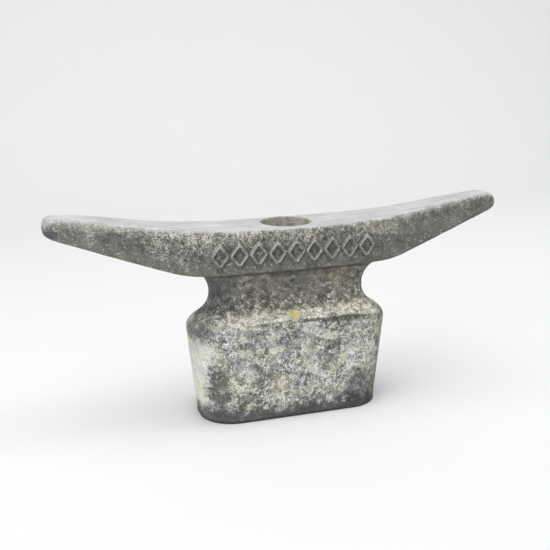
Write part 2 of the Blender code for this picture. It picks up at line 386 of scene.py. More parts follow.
def bar_field(x, y, z):
    """The horn bar: flat saddle, easing up to the tips, and straight-sloped horns with rounded ends."""
    under, top = bar_outline(x)
    middle, half_height = (top + under) * 0.5, (top - under) * 0.5
    top_radius = smaller(ramp(abs(x), 60 * MM, 140 * MM, *BAR_TOP_RADIUS), half_height * 0.75)
    radius = ramp(z - middle, -4 * MM, 4 * MM, BAR_LOW_RADIUS, top_radius)
    section = round_plan(y, z - middle, bar_half_depth(x), half_height, radius)
    nose_z = under + (top - under) * left_to_right(x, NOSE_MIDDLE)
    upright = left_to_right(x, NOSE_UPRIGHT)
    past = larger(larger(x + NOSE_WEAR, -x) - HALF_LENGTH + NOSE_RADIUS, 0.0)
    nose = hypotenuse(hypotenuse(past, y * NOSE_ACROSS), (z - nose_z) * upright) - NOSE_RADIUS
    nose = nose - ramp(past, 0.0, NOSE_START, NOSE_START, 0.0)
    near_nose = ramp(past, 0.0, 1 * MM, -1.0, nose)
    return smooth_larger(section, near_nose, left_to_right(x, NOSE_ROUNDING))


def base_field(x, y, z):
    """The tapered block with its rounded, sloping shoulder and eased foot."""
    below = larger(1.0 - z / SHOULDER_Z, 0.0)
    half_x = BASE_TOP[0] - below * BASE_TAPER
    half_y = BASE_TOP[1] - below * BASE_DEPTH_TAPER
    radius = BASE_TOP[2] - below * BASE_DEPTH_TAPER
    sides = round_plan(x, y, half_x, half_y, radius)
    plan = round_plan(x, y, *BASE_TOP)
    front = ramp(abs(x), 76 * MM, 48 * MM)
    slope = SHOULDER_SLOPE - front * SHOULDER_FRONT_FLATTER
    lift = front * SHOULDER_FRONT_LIFT - (1.0 - front) * SHOULDER_END_DROP
    roof = (z - SHOULDER_Z - lift + plan * slope) * cos(atan(SHOULDER_SLOPE))
    rounding = ramp(abs(x), 35 * MM, 78 * MM, *SHOULDER_ROUNDING)
    return smooth_larger(smooth_larger(sides, roof, rounding), -z, FOOT_ROUNDING)


def neck_field(x, y, z):
    """The waisted neck, whose ends run into the base and the bar."""
    rise = smaller(abs(z - NECK_WAIST_Z), NECK_ARC_REACH)
    spread = NECK_ARC_RADIUS - calc("SQRT", NECK_ARC_RADIUS ** 2 - rise * rise)
    sides = round_plan(x, y, NECK[0] + spread, NECK[1] + spread * NECK_DEPTH_SHARE, NECK[2])
    return larger(sides, abs(z - NECK_WAIST_Z) - NECK_HALF_HEIGHT)


def hole_field(x, y, z):
    """Recess, bore, nut pocket and cores: negative where metal is taken away."""
    radial = hypotenuse(x, y)
    recess = larger(radial - RECESS_RADIUS, RECESS_FLOOR_Z - z)
    pocket = larger(radial - NUT_POCKET_RADIUS, z - NUT_POCKET_ROOF_Z)
    draft = z * (CORE_DRAFT / CORE_ROOF_Z)
    half_x, half_y, radius = CORE_FOOT
    core_sides = round_plan(abs(x) - CORE_MIDDLE_X, y, half_x - draft, half_y - draft, radius)
    core = smooth_larger(core_sides, z - CORE_ROOF_Z, CORE_ROOF_ROUNDING)
    return smaller(smaller(recess, radial - BORE_RADIUS), smaller(pocket, core))


def cleat_field():
    """The casting's distance field as a shared group: negative in the metal."""
    tree, given = new_tree(
        "cleat_field",
        "GeometryNodeTree",
        [("Point", "NodeSocketVector", None)],
        [("Distance", "NodeSocketFloat"), ("Hole", "NodeSocketFloat"), ("Rise", "NodeSocketFloat")],
    )
    x, y, z = parts_of(given["Point"])
    metal = smooth_smaller(neck_field(x, y, z), base_field(x, y, z), NECK_TO_BASE_FILLET)
    metal = smooth_smaller(metal, bar_field(x, y, z), NECK_TO_BAR_FILLET)
    hole = hole_field(x, y, z)
    under, top = bar_outline(x)
    metal = smooth_larger(metal, -hole, MOUTH_ROUNDING)
    give(tree, Distance=metal, Hole=hole, Rise=(z - under) / (top - under))
    return tree


def field_at(field, point, output=0):
    return place(point.tree, "GeometryNodeGroup", output, {"node_tree": field}, Point=point)


def noted(skin, name, value):
    """Stores a term on each point under a name that the materials read."""
    tree = skin.tree
    store = tree.nodes.new("GeometryNodeStoreNamedAttribute")
    store.data_type = "FLOAT"
    store.domain = "POINT"
    feed(store.inputs["Geometry"], skin)
    feed(store.inputs["Name"], name)
    feed(store.inputs["Value"], value)
    return Term(tree, store.outputs[0])


def crust_mask(point):
    """Where white oxide has built up: dense on the base and ledge, sparse higher up."""
    _, _, z = parts_of(point)
    low_down = ramp(z, 104 * MM, 80 * MM)
    patches = noise(point, 10, 3, 0.6) * 0.55 + noise(point, 4.0, 2, 0.6) * 0.45
    return ramp(patches + low_down * 0.07, 0.50, 0.66)


def lozenge_row(tree, count, pitch, half_width, half_height, stroke, middle_z):
    """Raised cast lozenges in a row along the bar's front face, as one closed mesh each."""
    kite = tree.nodes.new("GeometryNodeCurvePrimitiveQuadrilateral")
    kite.mode = "KITE"
    feed(kite.inputs["Width"], half_width * 2)
    feed(kite.inputs["Bottom Height"], half_height)
    feed(kite.inputs["Top Height"], half_height)
    fillet = tree.nodes.new("GeometryNodeFilletCurve")
    fillet.mode = "POLY"
    feed(fillet.inputs["Curve"], Term(tree, kite.outputs[0]))
    feed(fillet.inputs["Radius"], 1.6 * MM)
    feed(fillet.inputs["Count"], 5)
    path = place(tree, "GeometryNodeResampleCurve", Curve=Term(tree, fillet.outputs[0]), Count=64)
    section = place(tree, "GeometryNodeCurvePrimitiveCircle", Resolution=12, Radius=stroke)
    rib = place(tree, "GeometryNodeCurveToMesh", Curve=path, Profile_Curve=section)
    start = ((1 - count) / 2 * pitch, -BAR_HALF_DEPTH, middle_z)
    line = place(tree, "GeometryNodeMeshLine", Count=count, Start_Location=start, Offset=(pitch, 0, 0))
    row = place(tree, "GeometryNodeInstanceOnPoints", Points=line, Instance=rib, Rotation=(pi / 2, 0, 0))
    row = place(tree, "GeometryNodeRealizeInstances", Geometry=row)
    point = place(tree, "GeometryNodeInputPosition")
    x, _, _ = parts_of(point)
    follow = vector_of(tree, 0.0, BAR_HALF_DEPTH - bar_half_depth(x), 0.0)
    return place(tree, "GeometryNodeSetPosition", Geometry=row, Offset=follow)


def cast_surface(field):
    """Meshes the field, adds the raised motif, roughens the cast skin and notes edges and hollows."""
    tree, given = new_tree(
        "cast_surface",
        "GeometryNodeTree",
        [
            ("Geometry", "NodeSocketGeometry", None),
            ("Low", "NodeSocketVector", None),
            ("High", "NodeSocketVector", None),
            ("Cells", "NodeSocketVector", None),
            ("Waviness", "NodeSocketFloat", SKIN_WAVINESS),
            ("Crust", "NodeSocketFloat", SKIN_CRUST),
            ("Skin", "NodeSocketMaterial", None),
        ],
        [("Geometry", "NodeSocketGeometry")],
    )
    point = place(tree, "GeometryNodeInputPosition")
    normal = place(tree, "GeometryNodeInputNormal")
    distance = field_at(field, point)
    cube = tree.nodes.new("GeometryNodeVolumeCube")
    feed(cube.inputs["Density"], 0.5 - distance / (4 * CELL))
    feed(cube.inputs["Background"], 0.0)
    feed(cube.inputs["Min"], given["Low"])
    feed(cube.inputs["Max"], given["High"])
    for axis, count in zip("XYZ", parts_of(given["Cells"])):
        feed(cube.inputs["Resolution " + axis], count)
    volume = Term(tree, cube.outputs[0])
    skin = place(tree, "GeometryNodeVolumeToMesh", Volume=volume, Threshold=0.5, Adaptivity=0.0)
    for _ in range(3):
        skin = place(tree, "GeometryNodeSetPosition", Geometry=skin, Offset=along(normal, -distance))

    motif = lozenge_row(tree, **MOTIF)
    union = tree.nodes.new("GeometryNodeMeshBoolean")
    union.operation = "UNION"
    union.solver = "MANIFOLD"
    for piece in (skin, motif):
        tree.links.new(piece.socket, union.inputs["Mesh 2"])
    skin = Term(tree, union.outputs["Mesh"])

    hole, rise = field_at(field, point, 1), field_at(field, point, 2)
    outer = ramp(hole, 0.2 * MM, 1.2 * MM)
    crust = crust_mask(point)
    notes = {
        "edge": 1.0 + field_at(field, moved(point, along(normal, -EDGE_PROBE))) / EDGE_PROBE,
        "hollow": 1.0 - field_at(field, moved(point, along(normal, HOLLOW_PROBE))) / HOLLOW_PROBE,
        "outer": outer,
        "rise": rise,
        "crust": crust,
    }
    for name, value in notes.items():
        skin = noted(skin, name, value)

    waves = (noise(point, 34, 2) - 0.5) * 1.4 + (noise(point, 9, 2) - 0.5) * 0.7
    lumps = waves * given["Waviness"] + (crust - 0.5) * given["Crust"] - SKIN_INSET
    above_foot = ramp(parts_of(point)[2], 0.5 * MM, 5 * MM)
    offset = along(normal, lumps * outer * above_foot)
    skin = place(tree, "GeometryNodeSetPosition", Geometry=skin, Offset=offset)
    skin = place(tree, "GeometryNodeSetShadeSmooth", Geometry=skin)
    skin = place(tree, "GeometryNodeRealizeInstances", Geometry=skin)
    give(tree, Geometry=place(tree, "GeometryNodeSetMaterial", Geometry=skin, Material=given["Skin"]))
    return tree


# ---------------------------------------------------------------- making pieces


def built_piece(name, tree, inputs, body):
    """A plain mesh object made by a geometry tree with the given inputs, riding on a body."""
    mesh = bpy.data.meshes.new(name)
    holder = bpy.data.objects.new(name + "_maker", mesh)
    bpy.context.scene.collection.objects.link(holder)
    maker = holder.modifiers.new("maker", "NODES")
    maker.node_group = tree
    for item in tree.interface.items_tree:
        if item.in_out == "INPUT" and item.name in inputs:
            maker[item.identifier] = inputs[item.name]
    bpy.context.view_layer.update()
    graph = bpy.context.evaluated_depsgraph_get()
    seen = holder.evaluated_get(graph)
    made = bpy.data.meshes.new_from_object(seen, preserve_all_data_layers=True, depsgraph=graph)
    made.name = name
    bpy.data.objects.remove(holder)
    piece = bpy.data.objects.new(name, made)
    bpy.context.scene.collection.objects.link(piece)
    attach(piece, body)
    return piece


def horn_casting(skin):
    low = cad_low - Vector((MARGIN, MARGIN, MARGIN))
    high = cad_high + Vector((MARGIN, MARGIN, MARGIN))
    inputs = {
        "Low": low,
        "High": high,
        "Cells": [round(length / CELL) for length in high - low],
        "Waviness": SKIN_WAVINESS,
        "Crust": SKIN_CRUST,
        "Skin": skin,
    }
    casting = built_piece("cast_cleat", cast_surface(cleat_field()), inputs, "cleat")
    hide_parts("horn_casting")


# ---------------------------------------------------------------- fixings


def finished(name, bm, body, material):
    """Makes a shaded object from a bmesh, replacing the CAD node of the same name."""
    bmesh.ops.recalc_face_normals(bm, faces=bm.faces)
    mesh = bpy.data.meshes.new(name)
    bm.to_mesh(mesh)
    bm.free()
    mesh.shade_smooth()
    mesh.set_sharp_from_angle(angle=radians(40))
    mesh.materials.append(material)
    piece = bpy.data.objects.new(name + "_seen", mesh)
    bpy.context.scene.collection.objects.link(piece)
    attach(piece, body)
    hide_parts(name)


def stacked(rings, closed):
    """Rings of (z, radius) joined in order. A radius is a length, or a function of angle and z."""
    bm = bmesh.new()
    rows = []
    for z, radius in rings:
        row = []
        for step in range(STEPS_ROUND):
            angle = 2 * pi * step / STEPS_ROUND
            reach = radius(angle, z) if callable(radius) else radius
            row.append(bm.verts.new((reach * cos(angle), reach * sin(angle), z)))
        rows.append(row)
    following = rows[1:] + rows[:1] if closed else rows[1:]
    for low, high in zip(rows, following):
        for i in range(STEPS_ROUND):
            j = (i + 1) % STEPS_ROUND
            bm.faces.new((low[i], low[j], high[j], high[i]))
    if not closed:
        bm.faces.new(rows[0])
        bm.faces.new(rows[-1])
    return bm


def eased(corners, radius, steps=3):
    """A closed (r, z) outline with each corner rounded off."""
    points = []
    for before, corner, after in zip(corners[-1:] + corners[:-1], corners, corners[1:] + corners[:1]):
        corner = Vector(corner)
        start = corner + (Vector(before) - corner).normalized() * radius
        end = corner + (Vector(after) - corner).normalized() * radius
        for step in range(steps + 1):
            t = step / steps
            points.append(start * (1 - t) ** 2 + corner * (2 * t * (1 - t)) + end * t ** 2)
    return points


def turned(name, corners_mm, easing, body, slot, material):
    """Makes a lathe-turned ring with the given (r, z) section in millimetres."""
    outline = eased([(r * MM, z * MM) for r, z in corners_mm], easing)
    finished(name, stacked([(z, r) for r, z in outline], True), body, material)


def hexagon(face_radius, faces_z):
    """Radius of a hexagon whose corners are chamfered at 30 degrees towards each height in faces_z."""
    def radius(angle, z):
        flat = (HEX_FLATS / 2) / cos((angle + pi / 6) % (pi / 3) - pi / 6)
        cone = min(face_radius + abs(z - face_z) * sqrt(3) for face_z in faces_z)
        return min(flat, cone)
    return radius


def thread_radius(angle, z, depth_share=1.0):
    """Radius of the right-hand thread at an angle and a height."""
    phase = (z / THREAD_PITCH - angle / (2 * pi)) % 1.0
    crest = min(max((1 - abs(2 * phase - 1) - THREAD_ROOT_FLAT) / THREAD_FLANK, 0.0), 1.0)
    return THREAD_CREST - THREAD_DEPTH * (1 - crest) * depth_share


def heights(start, end, step):
    count = round(abs(end - start) / step)
    return [start + (end - start) * i / count for i in range(count + 1)]


def hold_down_bolt(material):
    def shank(angle, z):
        runout = min(max((BOLT_THREAD_END_Z - z) / THREAD_RUNOUT, 0.0), 1.0)
        return min(thread_radius(angle, z, runout), BOLT_TIP_RADIUS + z - BOLT_TIP_Z)

    low, high = HEAD_Z
    head = hexagon(HEX_FACE_RADIUS, (high,))
    rings = [(z, shank) for z in heights(BOLT_TIP_Z, BOLT_THREAD_END_Z, THREAD_PITCH / 8)]
    # the fillet under the head, its washer face, the hexagon, and the sunk middle of its top
    rings += [(low - 0.4 * MM, THREAD_CREST), (low, THREAD_CREST + 0.3 * MM)]
    rings += [(low, 14 * MM), (low + 0.4 * MM, 14 * MM), (low + 0.4 * MM, 14.8 * MM)]
    rings += [(low + 0.6 * MM, head)]
    rings += [(z, head) for z in heights(high - HEX_CHAMFER, high, HEX_CHAMFER / 10)]
    rings += [(high, 12.2 * MM), (high - 0.25 * MM, 11.8 * MM)]
    finished("hold_down_bolt", stacked(rings, False), "bolt", material)


def coupling_nut(material):
    low, high = NUT_Z

    def bore(angle, z):
        mouth = NUT_MOUTH_RADIUS - min(z - low, high - z)
        return max(thread_radius(angle, z) + THREAD_FIT, mouth)

    outside = hexagon(HEX_FACE_RADIUS, NUT_Z)
    rings = [(z, outside) for z in heights(low, low + HEX_CHAMFER, HEX_CHAMFER / 10)]
    rings += [(z, outside) for z in heights(high - HEX_CHAMFER, high, HEX_CHAMFER / 10)]
    rings += [(z, bore) for z in heights(high, low, THREAD_PITCH / 8)]
    finished("coupling_nut", stacked(rings, True), "bolt", material)


def spring_washer(material):
    """A split ring, pressed almost flat, with its ends standing slightly proud of each other."""
    inner, outer = SPRING_WASHER_R
    low, high = SPRING_WASHER_Z
    outline = eased([(inner, low), (outer, low), (outer, high), (inner, high)], 0.5 * MM)
    bm = bmesh.new()
    rows = []
    start, end = radians(SPLIT_DEGREES / 2), 2 * pi - radians(SPLIT_DEGREES / 2)
    for step in range(STEPS_ROUND + 1):
        share = step / STEPS_ROUND
        near_cut = 1 - abs(2 * share - 1) < SPLIT_REACH
        row = []
        for r, z in outline:
            # the cut leans, as a coiled bar cut through on the skew
            lean = (z - SPLIT_MIDDLE_Z) * SPLIT_LEAN if near_cut else 0.0
            angle = start + (end - start) * share + lean
            row.append(bm.verts.new((r * cos(angle), r * sin(angle), z + SPRING_WASHER_RISE * share)))
        rows.append(row)
    for before, after in zip(rows, rows[1:]):
        for i in range(len(outline)):
            j = (i + 1) % len(outline)
            bm.faces.new((before[i], before[j], after[j], after[i]))
    bm.faces.new(rows[0])
    bm.faces.new(rows[-1])
    finished("spring_washer", bm, "cleat", material)


def fixings(steel, plastic):
    hold_down_bolt(steel)
    coupling_nut(steel)
    spring_washer(steel)
    washer = [(10.7, 132.62), (18.5, 132.62), (18.5, 135.58), (10.7, 135.58)]
    bush = [(10.5, 71), (12.7, 71), (12.7, 129.3), (19.5, 129.3), (19.5, 132.3), (10.5, 132.3)]
    nut_washer = [(10.7, 62.3), (18.8, 62.3), (18.8, 65.3), (10.7, 65.3)]
    turned("plate_washer", washer, 0.4 * MM, "cleat", "stainless", steel)
    turned("isolating_bush", bush, 0.5 * MM, "cleat", "nylon", plastic)
    turned("nut_isolating_washer", nut_washer, 0.4 * MM, "bolt", "nylon", plastic)


# ---------------------------------------------------------------- materials


def new_material(name, roughness, metallic):
    """A material and its Principled shader."""
    made = bpy.data.materials.new(name)
    made.use_nodes = True
    shader = made.node_tree.nodes["Principled BSDF"]
    shader.inputs["Roughness"].default_value = roughness
    shader.inputs["Metallic"].default_value = metallic
    return made, shader


def object_terms(tree):
    """Object coordinates and the surface's direction in the object's own axes."""
    node = tree.nodes.new("ShaderNodeTexCoord")
    return Term(tree, node.outputs["Object"]), Term(tree, node.outputs["Normal"])


def attribute(tree, name):
    node = tree.nodes.new("ShaderNodeAttribute")
    node.attribute_name = name
    return Term(tree, node.outputs["Fac"])


def mixed(first, second, share):
    """A colour between two colours. Each is a term or an RGB triple."""
    tree = share.tree
    node = tree.nodes.new("ShaderNodeMix")
    node.data_type = "RGBA"
    feed(node.inputs["Factor"], share)
    for socket, colour in zip((node.inputs[6], node.inputs[7]), (first, second)):
        feed(socket, colour if isinstance(colour, Term) else (*colour, 1.0))
    return Term(tree, node.outputs[2])


def bumped(height, depth):
    """A normal from a height term whose 0 to 1 stands for depth metres."""
    return place(height.tree, "ShaderNodeBump", Strength=1.0, Distance=depth, Height=height)


def group_at(group, vector, output, **inputs):
    return place(vector.tree, "ShaderNodeGroup", output, {"node_tree": group}, Point=vector, **inputs)


def grain_group():
    """Sand-mould grain: uneven pebbles with finer sand between them."""
    tree, given = new_tree(
        "sand_grain",
        "ShaderNodeTree",
        [
            ("Point", "NodeSocketVector", None),
            ("Pebble", "NodeSocketFloat", 1.0),
            ("Cover", "NodeSocketFloat", 0.5),
        ],
        [("Height", "NodeSocketFloat"), ("Specks", "NodeSocketFloat")],
    )
    sized = along(given["Point"], 1.0 / given["Pebble"])
    pebbles = noise(sized, 1.7, 2, 0.75)
    clusters = noise(sized, 7.5, 2, 0.6)
    lumps = ramp(pebbles, 0.34, 0.66)
    specks = ramp(pebbles + (clusters - 0.5) * 0.45 + (given["Cover"] - 0.5) * 0.4, 0.54, 0.66)
    give(tree, Height=lumps, Specks=specks)
    return tree


def stain_group():
    """Soft blotches of two sizes, for dirt, damp and tea staining."""
    tree, given = new_tree(
        "stains",
        "ShaderNodeTree",
        [("Point", "NodeSocketVector", None), ("Cover", "NodeSocketFloat", 0.5)],
        [("Broad", "NodeSocketFloat"), ("Fine", "NodeSocketFloat")],
    )
    point = given["Point"]
    lean = (given["Cover"] - 0.5) * 0.5
    broad = noise(point, 42, 3, 0.6) + lean
    fine = noise(point, 7, 4, 0.65) * 0.6 + noise(point, 1.7, 2, 0.6) * 0.4 + lean
    give(tree, Broad=ramp(broad, 0.4, 0.62), Fine=ramp(fine, 0.44, 0.58))
    return tree


def scuff_group():
    """Long thin rubs along X from rope and handling."""
    tree, given = new_tree(
        "scuffs",
        "ShaderNodeTree",
        [("Point", "NodeSocketVector", None)],
        [("Rubs", "NodeSocketFloat")],
    )
    long_rubs = noise(stretched(given["Point"], (0.06, 1.0, 0.5)), 3.2, 3, 0.65)
    fine_rubs = noise(stretched(given["Point"], (0.1, 1.0, 1.0)), 1.4, 2, 0.6)
    give(tree, Rubs=ramp(long_rubs * 0.6 + fine_rubs * 0.4, 0.42, 0.62))
    return tree


def spot(x, z, at, size):
    """A soft round mark at (x, z) millimetres on the front, 1 in its middle."""
    gap = hypotenuse((x - at[0] * MM) / (size[0] * MM), (z - at[1] * MM) / (size[1] * MM))
    return ramp(gap, 1.0, 0.25)


def toned(value, stops):
    """A colour read off a scale of (place, RGB) stops."""
    node = value.tree.nodes.new("ShaderNodeValToRGB")
    scale = node.color_ramp.elements
    while len(scale) < len(stops):
        scale.new(0.5)
    for element, (where, colour) in zip(scale, stops):
        element.position = where
        element.color = (*colour, 1.0)
    feed(node.inputs["Fac"], value)
    return Term(value.tree, node.outputs["Color"])


def tinted(colour, tint, share):
    """A colour multiplied by an RGB tint, as far as share says."""
    return mixed(colour, stretched(colour, tint), share)


def motif_marks(x, y, z, wobble):
    """Where the raised lozenges' strokes are, and a painted shade line each side of them."""
    wide, tall = MOTIF["half_width"], MOTIF["half_height"]
    across = calc("PINGPONG", x, MOTIF["pitch"] / 2)
    gap = abs(across / wide + abs(z - MOTIF["middle_z"]) / tall - 1.0) * (wide * tall / hypot(wide, tall))
    gap = gap + (wobble - 0.5) * (2 * MM)
    reach = MOTIF["pitch"] * MOTIF["count"] / 2
    here = ramp(abs(x), reach, reach - 1 * MM) * ramp(y, -20 * MM, -22 * MM)
    return ramp(gap, 2.2 * MM, 1.6 * MM) * here, ramp(abs(gap - 2.5 * MM), 1.1 * MM, 0.3 * MM) * here


def bar_tones(point, x, z, rise, broad, fine):
    """Smooth dark grey below, pale along the top edge, and pebbled with light grains on the left horn."""
    grains = noise(point, 1.05, 1, 0.5)
    ragged = noise(moved(point, (0.4, 0.4, 0.0)), 4, 2, 0.9)
    streak = noise(stretched(point, (1.0, 1.0, 0.25)), 2.4, 2, 0.6)
    patchy = noise(moved(point, (0.5, 0.1, 0.2)), 13, 4, 0.7)
    motif_band = ramp(abs(x), 82 * MM, 66 * MM) * ramp(z, 156 * MM, 151 * MM)
    pebbled = ramp(rise, 0.15, 0.5, 0.15, 1.0) * ramp(x, 110 * MM, 30 * MM, 0.15, 1.0)
    pebbled = pebbled * ramp(x, -145 * MM, -105 * MM, 0.35, 1.0) * (1.0 - motif_band * 0.65)
    pebbled = pebbled * ramp(patchy, 0.38, 0.56, 0.6, 1.0)
    rough = ramp(rise, 0.1, 0.7, 0.5, 1.5) * ramp(x, 60 * MM, 115 * MM, 1.0, 0.55)
    rough = rough * ramp(x, -165 * MM, -95 * MM, 0.5, 1.0)
    pale_edge = ramp(rise, 0.45, 0.92) * ramp(x, 115 * MM, 50 * MM, 0.2, 1.0)
    value = 0.32 + pale_edge * 0.2 + ramp(x, -60 * MM, -110 * MM) * 0.07
    value = value + (broad - 0.5) * 0.06 + (fine - 0.5) * 0.05
    value = value + (patchy - 0.5) * ramp(rise, 0.1, 0.6, 0.4, 1.1) + (ragged - 0.5) * rough
    value = value + (streak - 0.5) * 0.6 * pebbled + (ramp(grains, 0.4, 0.62) - 0.42) * 0.44 * pebbled
    value = value + (grains - 0.5) * 0.25 + ramp(x, 150 * MM, 185 * MM) * -0.05
    value = value + ramp(x, 80 * MM, 110 * MM) * 0.02
    value = value + ramp(x, -80 * MM, -110 * MM) * ramp(rise, 0.6, 0.3) * 0.035
    flecks = ramp(noise(moved(point, (0.0, 0.3, 0.8)), 2.6, 2, 0.8), 0.6, 0.66) * (1.0 - pebbled)
    tone = toned(
        value + flecks * 0.4,
        [(0.02, (0.055, 0.054, 0.047)), (0.27, (0.135, 0.131, 0.115)), (0.47, (0.225, 0.221, 0.198)),
         (0.72, (0.45, 0.445, 0.405)), (0.98, (0.75, 0.745, 0.69))],
    )
    return tinted(tone, (1.06, 1.0, 0.9), ramp(patchy, 0.5, 0.62) * pale_edge * 0.8)


def neck_tones(point, x, z, broad):
    """Smooth brown-grey above, flecked with cream lower down, and slate at the left end."""
    ragged = noise(point, 4.2, 2, 0.95)
    clumps = noise(point, 9, 3, 0.65)
    flecked = ramp(z + (clumps - 0.5) * (90 * MM), 124 * MM, 98 * MM, 0.4, 1.0)
    value = 0.38 + (ragged - 0.5) * 1.7 * flecked + (clumps - 0.5) * 1.6 * flecked + flecked * 0.06
    value = value + ramp(ragged, 0.55, 0.61) * flecked * 0.22
    value = value + (broad - 0.5) * 0.08 + ramp(x, 0 * MM, 40 * MM) * 0.035
    left = ramp(x, -44 * MM, -62 * MM, 0.0, 0.9)
    slate = larger(left, ramp(noise(moved(point, (0.8, 0.2, 0.2)), 17, 2), 0.54, 0.62) * 0.7)
    tone = toned(
        value - left * 0.22 - slate * 0.03,
        [(0.05, (0.065, 0.062, 0.051)), (0.3, (0.14, 0.131, 0.108)), (0.5, (0.225, 0.213, 0.18)),
         (0.75, (0.45, 0.437, 0.37)), (1.0, (0.78, 0.77, 0.69))],
    )
    return tinted(tone, (0.94, 1.0, 1.2), slate)


def base_tones(point, x, z, front):
    """Slate grey peppered with white oxide and blotched with cream, smooth and dark along the foot, with a
    painted contact shadow along the bottom edge.
    """
    speckle = noise(point, 1.4, 1, 0.8)
    ragged = noise(point, 3.8, 2, 0.95)
    clumps = noise(moved(point, (0.6, 0.6, 0.1)), 8, 3, 0.65)
    patches = noise(moved(point, (0.2, 0.8, 0.1)), 22, 3, 0.65)
    dark_patch = larger(spot(x, z, (-69, 33), (14, 32)), spot(x, z, (-82, 81), (18, 11)))
    dark_patch = larger(dark_patch, spot(x, z, (60, 16), (36, 28)))
    dark_patch = larger(dark_patch, spot(x, z, (80, 82), (18, 9)) * 0.8) * front
    foot = ramp(z + (clumps - 0.5) * (26 * MM), 16 * MM, 5 * MM)
    ends = ramp(abs(x) + (ragged - 0.5) * (20 * MM), 73 * MM, 77 * MM) * ramp(z, 6 * MM, 18 * MM)
    ends = ends * ramp(z + (ragged - 0.5) * (16 * MM), 75 * MM, 68 * MM)
    calm = larger(larger(ends * 0.7, foot * 0.9), ramp(dark_patch, 0.3, 0.8) * 0.5)
    peppered = 1.0 - calm
    local = ramp(noise(moved(point, (0.7, 0.2, 0.9)), 14, 2), 0.42, 0.58, 0.55, 1.2)
    whites = ramp(noise(moved(point, (0.9, 0.3, 0.5)), 3.4, 2, 0.9), 0.53, 0.59) * ramp(clumps, 0.42, 0.56)
    value = 0.545 + (speckle - 0.5) * 1.35 * peppered * local + (ragged - 0.5) * 1.75 * peppered * local
    value = value + spot(x, z, (5, 48), (40, 22)) * 0.04 - spot(x, z, (0, 12), (60, 14)) * 0.06
    value = value + (patches - 0.5) * 1.3 * peppered + (clumps - 0.5) * 0.8 * peppered
    value = value + whites * 0.3 * larger(peppered, 0.5)
    # the last term is a painted contact shadow along the bottom edge
    value = value - dark_patch * 0.27 - foot * 0.4 - ramp(z, 3.5 * MM, 0.5 * MM) * 0.45
    value = value + ends * ramp(x, 10 * MM, -10 * MM, -0.16, 1.0) * ramp(z, 72 * MM, 40 * MM, 0.27, 0.4)
    tone = toned(
        value,
        [(0.0, (0.06, 0.062, 0.065)), (0.25, (0.145, 0.147, 0.15)), (0.47, (0.3, 0.3, 0.29)),
         (0.7, (0.52, 0.518, 0.49)), (1.0, (0.9, 0.9, 0.87))],
    )
    tint = noise(moved(point, (0.3, 0.1, 0.7)), 15, 2)
    tone = tinted(tone, (1.0, 0.985, 0.85), ramp(tint, 0.46, 0.6))
    tone = tinted(tone, (1.0, 0.99, 1.02), ramp(tint, 0.44, 0.36) * peppered)
    blotch = ramp(noise(moved(point, (0.1, 0.6, 0.4)), 8, 4, 0.75), 0.56, 0.61)
    for at, size in CREAM_BLOTCHES:
        blotch = larger(blotch, ramp(spot(x, z, at, size) * front + (ragged - 0.5) * 3.0, 0.35, 0.75))
    return mixed(tone, (0.74, 0.72, 0.61), blotch * ramp(speckle, 0.32, 0.48, 0.35, 0.9) * peppered)


def lichen_mask(point, x, z, front):
    """Small ragged yellow colonies, on the ledge and the neck, and scattered thinly elsewhere."""
    ragged = noise(moved(point, (0.9, 0.0, 0.2)), 4, 2, 0.9)
    colonies = larger(spot(x, z, (-2, 90), (8, 4.5)), spot(x, z, (35, 118), (9, 6)) * 0.5) * front
    strays = ramp(noise(moved(point, (0.9, 0.0, 0.2)), 13, 2), 0.66, 0.74) * 0.3
    strays = strays * ramp(z, 14 * MM, 28 * MM) * ramp(z, 100 * MM, 80 * MM)
    return ramp(larger(colonies, strays) + (ragged - 0.5) * 2.4, 0.3, 0.9)


